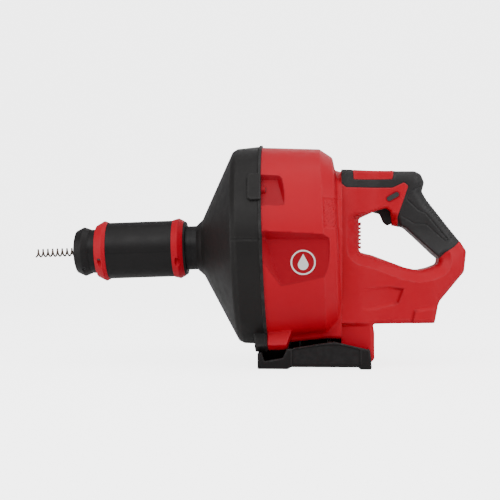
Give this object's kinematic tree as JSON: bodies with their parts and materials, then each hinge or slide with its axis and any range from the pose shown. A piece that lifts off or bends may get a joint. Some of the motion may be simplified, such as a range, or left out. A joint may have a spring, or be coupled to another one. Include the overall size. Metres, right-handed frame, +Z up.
{
  "type": "drain snake machine",
  "caption": "Hand-held powered drain snake with a round cable drum, sliding feed sleeve, steel auger tip, D-handle, trigger and base stand.",
  "frame": {"origin": "centre of the bounding box, on the ground plane under the feet", "axes": "+X from the nose to the handle, +Z up, +Y to the far side of the badge seen with the nose on the left"},
  "size_m": [0.5805, 0.268, 0.2936],
  "materials": {
    "red_plastic": "fine moulded texture",
    "black_plastic": "satin moulded",
    "shroud_black": "fine spark texture",
    "soft_grip": "soft matte overmould",
    "grey_plastic": "satin moulded",
    "rubber_black": "matte",
    "steel": "machined",
    "cable_steel": "drawn wire",
    "bearing_steel": "polished",
    "screw_steel": "black oxide",
    "aluminium": "die cast",
    "carrier_zinc": "die cast zinc",
    "lamination": "varnished stack",
    "copper": "enamelled wire",
    "contact_brass": "tinned",
    "lead_insulation": "silicone insulation",
    "badge_white": "printed white"
  },
  "bodies": {
    "machine": {"badge_symbols": "badge_white", "base_stand": "black_plastic", "battery_contacts": "contact_brass", "control_module": "aluminium", "drum_bearings": "bearing_steel", "drum_housing": "red_plastic", "feed_tube": "black_plastic", "front_shroud": "shroud_black", "gear_case": "aluminium", "gear_case_cover": "aluminium", "gear_case_screws": "screw_steel", "grip_left": "soft_grip", "grip_right": "soft_grip", "handle_shell_left": "red_plastic", "handle_shell_right": "red_plastic", "housing_screws": "screw_steel", "layshaft_bearings": "bearing_steel", "motor_bearings": "bearing_steel", "motor_end_cap": "grey_plastic", "motor_stator": "lamination", "motor_windings": "copper", "nose_collar": "black_plastic", "rear_vent": "red_plastic", "roller_guide": "black_plastic", "rubber_feet": "rubber_black", "terminal_block": "grey_plastic", "trigger_pin": "steel", "trigger_switch": "grey_plastic", "wiring": "lead_insulation"},
    "sleeve": {"sleeve_upper": "black_plastic", "sleeve_lower": "black_plastic", "front_ring_upper": "red_plastic", "front_ring_lower": "red_plastic", "rear_ring_upper": "red_plastic", "rear_ring_lower": "red_plastic", "ring_screws": "screw_steel"},
    "drum": {"drum_front": "grey_plastic", "drum_rear": "grey_plastic", "drum_screws": "screw_steel", "drum_shaft": "steel", "drum_gear": "steel", "cable_guide": "steel", "cable_coil": "cable_steel"},
    "cable": {"cable_lead": "cable_steel", "auger_tip": "cable_steel"},
    "layshaft": {"layshaft": "steel", "layshaft_gear": "steel"},
    "rotor": {"motor_rotor": "lamination", "motor_shaft": "steel", "motor_fan": "grey_plastic"},
    "trigger": {"trigger": "black_plastic", "trigger_spring": "steel"},
    "direction_button": {"direction_button": "grey_plastic"},
    "carrier_1": {"roller_carrier_1": "carrier_zinc"},
    "roller_1": {"feed_roller_1": "steel"},
    "carrier_2": {"roller_carrier_2": "carrier_zinc"},
    "roller_2": {"feed_roller_2": "steel"},
    "carrier_3": {"roller_carrier_3": "carrier_zinc"},
    "roller_3": {"feed_roller_3": "steel"}
  },
  "joints": [
    {"name": "sleeve_slide", "type": "slide", "parent": "machine", "child": "sleeve", "axis": [0.9994, 0, 0.0349], "range_m": [-0.004, 0.012]},
    {"name": "drum_spin", "type": "hinge", "parent": "machine", "child": "drum", "pos_m": [0.02998, 0, 0.15985], "axis": [0.9994, 0, 0.0349], "continuous": true},
    {"name": "cable_feed", "type": "slide", "parent": "drum", "child": "cable", "axis": [0.9994, 0, 0.0349], "range_m": [-0.12, 0.02]},
    {"name": "layshaft_spin", "type": "hinge", "parent": "machine", "child": "layshaft", "pos_m": [0.09177, 0.024, 0.10972], "axis": [0.9994, 0, 0.0349], "continuous": true},
    {"name": "rotor_spin", "type": "hinge", "parent": "machine", "child": "rotor", "pos_m": [0.1323, 0, 0.09521], "axis": [0.9994, 0, 0.0349], "continuous": true},
    {"name": "trigger_pull", "type": "hinge", "parent": "machine", "child": "trigger", "pos_m": [0.172, 0, 0.212], "axis": [0, -1, 0], "range_deg": [0, 11], "stiffness_Nm_per_rad": 0.5, "springref_deg": -17.19},
    {"name": "direction_slide", "type": "slide", "parent": "machine", "child": "direction_button", "axis": [0, 1, 0], "range_m": [-0.003, 0.003]},
    {"name": "carrier_slide_1", "type": "slide", "parent": "machine", "child": "carrier_1", "axis": [-0.0349, 0, 0.9994], "range_m": [-0.0021, 0.0007]},
    {"name": "roller_spin_1", "type": "hinge", "parent": "carrier_1", "child": "roller_1", "pos_m": [-0.14534, 0, 0.16603], "axis": [0.9994, 0, 0.0349], "continuous": true},
    {"name": "carrier_slide_2", "type": "slide", "parent": "machine", "child": "carrier_2", "axis": [0.0174, -0.866, -0.4997], "range_m": [-0.0021, 0.0007]},
    {"name": "roller_spin_2", "type": "hinge", "parent": "carrier_2", "child": "roller_2", "pos_m": [-0.1447, -0.01065, 0.14759], "axis": [0.9994, 0, 0.0349], "continuous": true},
    {"name": "carrier_slide_3", "type": "slide", "parent": "machine", "child": "carrier_3", "axis": [0.0174, 0.866, -0.4997], "range_m": [-0.0021, 0.0007]},
    {"name": "roller_spin_3", "type": "hinge", "parent": "carrier_3", "child": "roller_3", "pos_m": [-0.1447, 0.01065, 0.14759], "axis": [0.9994, 0, 0.0349], "continuous": true}
  ],
  "couplings": [
    {"joint": "layshaft_spin", "follows": "drum_spin", "ratio": -6.6667},
    {"joint": "rotor_spin", "follows": "drum_spin", "ratio": 33.333},
    {"joint": "carrier_slide_1", "follows": "sleeve_slide", "ratio": -0.16667},
    {"joint": "carrier_slide_2", "follows": "sleeve_slide", "ratio": -0.16667},
    {"joint": "carrier_slide_3", "follows": "sleeve_slide", "ratio": -0.16667}
  ]
}
